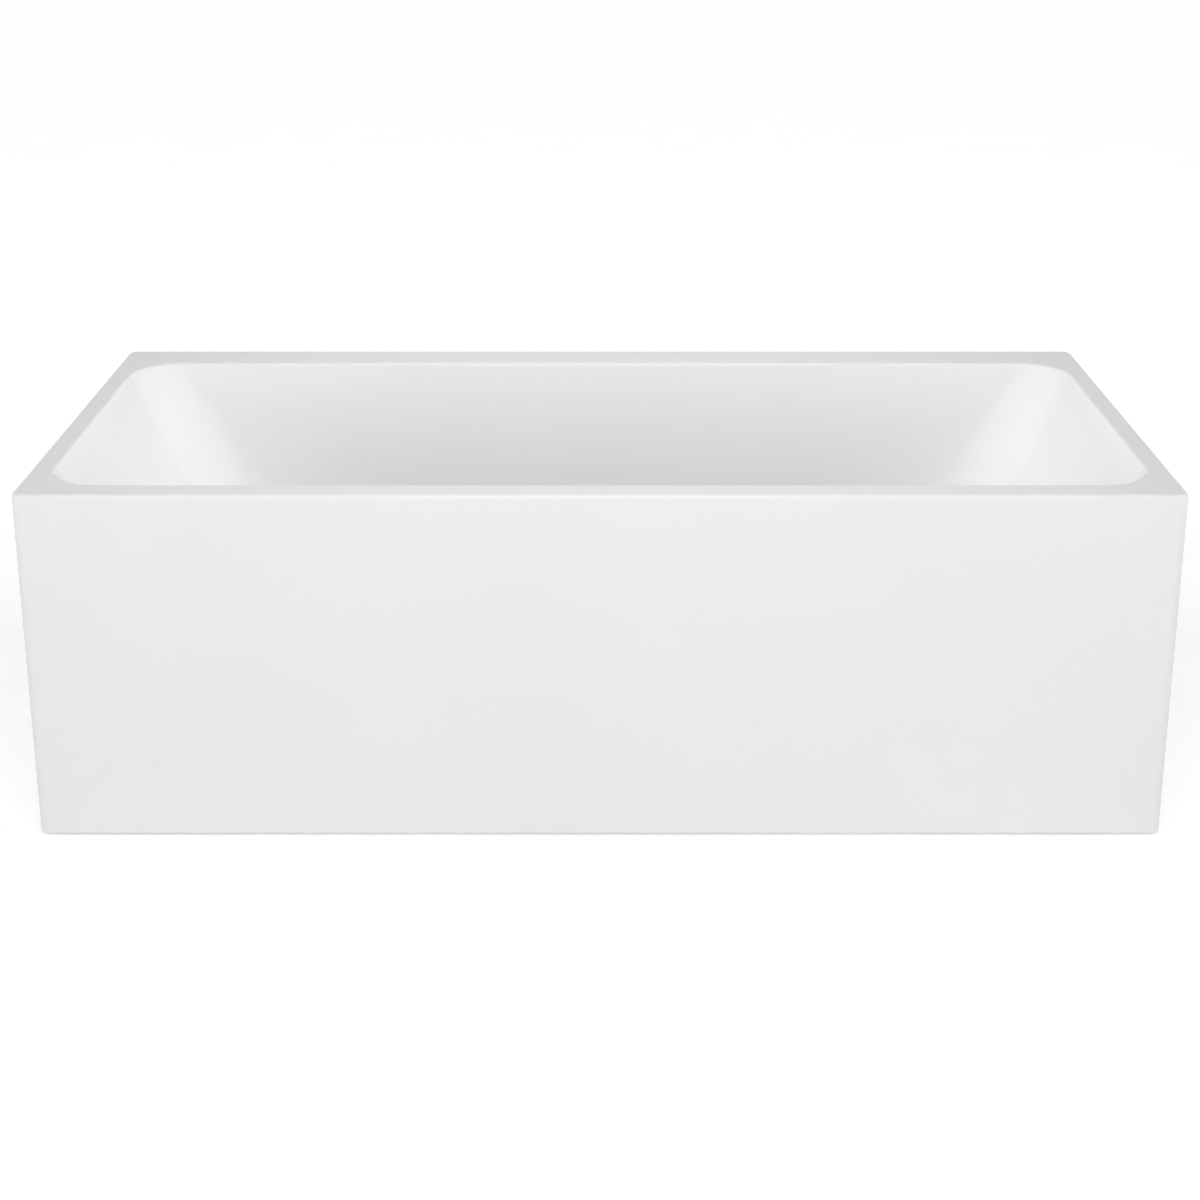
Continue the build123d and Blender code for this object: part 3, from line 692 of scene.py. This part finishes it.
def make_world():
    """White surroundings that light the tub softly, a little less from above than from the side."""
    world = bpy.data.worlds.new("studio")
    bpy.context.scene.world = world
    world.use_nodes = True
    nodes, links = world.node_tree.nodes, world.node_tree.links
    nodes.clear()
    output = nodes.new("ShaderNodeOutputWorld")
    place = nodes.new("ShaderNodeTexCoord")
    split = nodes.new("ShaderNodeSeparateXYZ")
    links.new(place.outputs["Generated"], split.inputs["Vector"])
    height = nodes.new("ShaderNodeMapRange")
    height.inputs["From Min"].default_value = 0.0
    height.inputs["From Max"].default_value = 1.0
    height.inputs["To Min"].default_value = HORIZON_LIGHT
    height.inputs["To Max"].default_value = ZENITH_LIGHT
    links.new(split.outputs["Z"], height.inputs["Value"])
    soft = nodes.new("ShaderNodeBackground")
    soft.inputs["Color"].default_value = (1, 1, 1, 1)
    links.new(height.outputs["Result"], soft.inputs["Strength"])
    white = nodes.new("ShaderNodeBackground")
    white.inputs["Color"].default_value = (1, 1, 1, 1)
    white.inputs["Strength"].default_value = 1.0
    choice = nodes.new("ShaderNodeMixShader")
    links.new(add_seen(nodes, links), choice.inputs["Fac"])
    links.new(soft.outputs["Background"], choice.inputs[1])
    links.new(white.outputs["Background"], choice.inputs[2])
    links.new(choice.outputs["Shader"], output.inputs["Surface"])


def add_panel(name, place, target, size, power, spread=180):
    """Rectangular lamp: size across and up in metres, power in watts and spread in degrees."""
    lamp = bpy.data.lights.new(name, "AREA")
    lamp.shape = "RECTANGLE"
    lamp.size, lamp.size_y = size
    lamp.energy = power
    lamp.spread = math.radians(spread)
    panel = bpy.data.objects.new(name, lamp)
    panel.location = place
    panel.rotation_euler = (Vector(target) - Vector(place)).to_track_quat("-Z", "Y").to_euler()
    panel.visible_camera = False
    panel.visible_glossy = False
    bpy.context.scene.collection.objects.link(panel)


def make_lights():
    """Even studio light, with a narrow beam over each end on to the sloping wall at the other end."""
    add_panel("front_panel", place=(0, -4.6, 1.9), target=(0, -0.2, 0.3), size=(5.0, 2.2), power=54)
    add_panel("front_low_panel", place=(0, -3.6, 0.62), target=(0, -0.4, 0.4), size=(5.4, 0.9), power=8)
    add_panel("front_high_panel", place=(0, -3.2, 3.2), target=(0, 0.2, 0.4), size=(4.0, 1.6), power=38)
    add_panel("rear_low_panel", place=(0, 3.6, 0.5), target=(0, 0.4, 0.35), size=(5.4, 0.8), power=42)
    for side, name in ((-1, "left"), (1, "right")):
        add_panel(
            name + "_panel", place=(side * 3.8, -0.6, 1.15), target=(-side * 0.3, 0.1, 0.5),
            size=(2.2, 1.0), power=15)
        add_panel(
            name + "_beam", place=(side * 2.7, -0.1, 1.5), target=(-side * 0.75, 0.02, 0.42),
            size=(1.2, 0.2), power=1.05, spread=22)


def make_camera():
    """Camera in front of the tub and above it, tilted down, with a small shift for the framing."""
    camera_data = bpy.data.cameras.new("camera")
    camera_data.sensor_width = SENSOR_WIDTH
    camera_data.lens = CAMERA_LENS
    camera_data.shift_y = CAMERA_SHIFT
    camera_data.clip_end = CAMERA_REACH
    camera = bpy.data.objects.new("camera", camera_data)
    camera.location = (0, -HALF_Y - CAMERA_GAP, CAMERA_HEIGHT)
    camera.rotation_euler = (math.pi / 2 - CAMERA_TILT, 0, 0)
    bpy.context.scene.collection.objects.link(camera)
    bpy.context.scene.camera = camera


dress_solids()
make_shell()
make_plug_cap()
make_overflow_cover()
make_floor()
make_world()
make_lights()
make_camera()
bpy.context.scene.view_settings.view_transform = "Standard"
